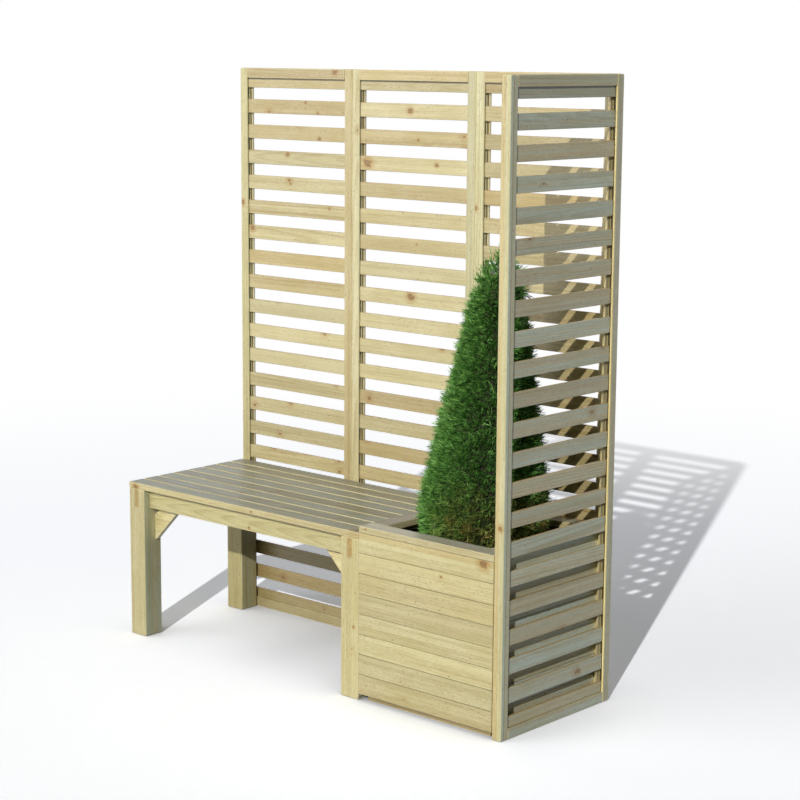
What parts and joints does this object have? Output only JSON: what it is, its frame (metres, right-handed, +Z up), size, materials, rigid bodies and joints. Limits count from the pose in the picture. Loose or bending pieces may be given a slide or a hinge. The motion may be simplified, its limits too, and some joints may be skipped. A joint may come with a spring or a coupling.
{
  "type": "bench with planter",
  "caption": "Corner bench of softwood boards with slatted back and side panels and a square planter that holds a clipped conifer.",
  "frame": {"origin": "middle of the footprint on the ground", "axes": "+X along the bench towards the planter, +Z up, the sitter faces -Y"},
  "size_m": [1.532, 0.532, 1.8],
  "materials": {
    "panel_frame": "planed, pressure treated softwood",
    "slats": "planed, pressure treated softwood",
    "bench_frame": "planed, pressure treated softwood",
    "seat_boards": "planed, pressure treated softwood, slightly greyed",
    "planter_boards": "planed, pressure treated softwood",
    "rim_boards": "planed, pressure treated softwood, slightly greyed",
    "liner": "dull black film",
    "compost": "crumbly, dark",
    "bark": "rough bark",
    "foliage": "dense short needle sprigs",
    "screws": "dull plated"
  },
  "bodies": {
    "root": {"back_panel_1_stile_left": "panel_frame", "back_panel_1_stile_right": "panel_frame", "back_panel_1_top_rail": "panel_frame", "back_panel_1_bottom_rail": "panel_frame", "back_panel_1_slats": "slats", "back_panel_1_beads": "panel_frame", "back_panel_2_stile_left": "panel_frame", "back_panel_2_stile_right": "panel_frame", "back_panel_2_top_rail": "panel_frame", "back_panel_2_bottom_rail": "panel_frame", "back_panel_2_slats": "slats", "back_panel_2_beads": "panel_frame", "back_panel_3_stile_left": "panel_frame", "back_panel_3_stile_right": "panel_frame", "back_panel_3_top_rail": "panel_frame", "back_panel_3_bottom_rail": "panel_frame", "back_panel_3_slats": "slats", "back_panel_3_beads": "panel_frame", "side_panel_stile_left": "panel_frame", "side_panel_stile_right": "panel_frame", "side_panel_top_rail": "panel_frame", "side_panel_bottom_rail": "panel_frame", "side_panel_slats": "slats", "side_panel_beads": "panel_frame", "leg_front_left": "bench_frame", "leg_front_right": "bench_frame", "leg_rear_left": "bench_frame", "leg_rear_right": "bench_frame", "front_apron": "bench_frame", "rear_apron": "bench_frame", "side_rail_left": "bench_frame", "side_rail_right": "bench_frame", "middle_bearer": "bench_frame", "front_braces": "bench_frame", "rear_braces": "bench_frame", "seat_board_1": "seat_boards", "seat_board_2": "seat_boards", "seat_board_3": "seat_boards", "seat_board_4": "seat_boards", "seat_board_5": "seat_boards", "seat_board_6": "seat_boards", "seat_board_7": "seat_boards", "seat_board_8": "seat_boards", "planter_front_boards": "planter_boards", "planter_rim_front": "rim_boards", "planter_back_boards": "planter_boards", "planter_rim_back": "rim_boards", "planter_left_boards": "planter_boards", "planter_rim_left": "rim_boards", "planter_right_boards": "planter_boards", "planter_rim_right": "rim_boards", "planter_corner_posts": "planter_boards", "planter_bearers": "planter_boards", "planter_floor_boards": "planter_boards", "planter_liner": "liner", "compost": "compost", "conifer_trunk": "bark", "conifer_foliage": "foliage", "panel_screws": "screws", "planter_screws": "screws"}
  },
  "joints": []
}
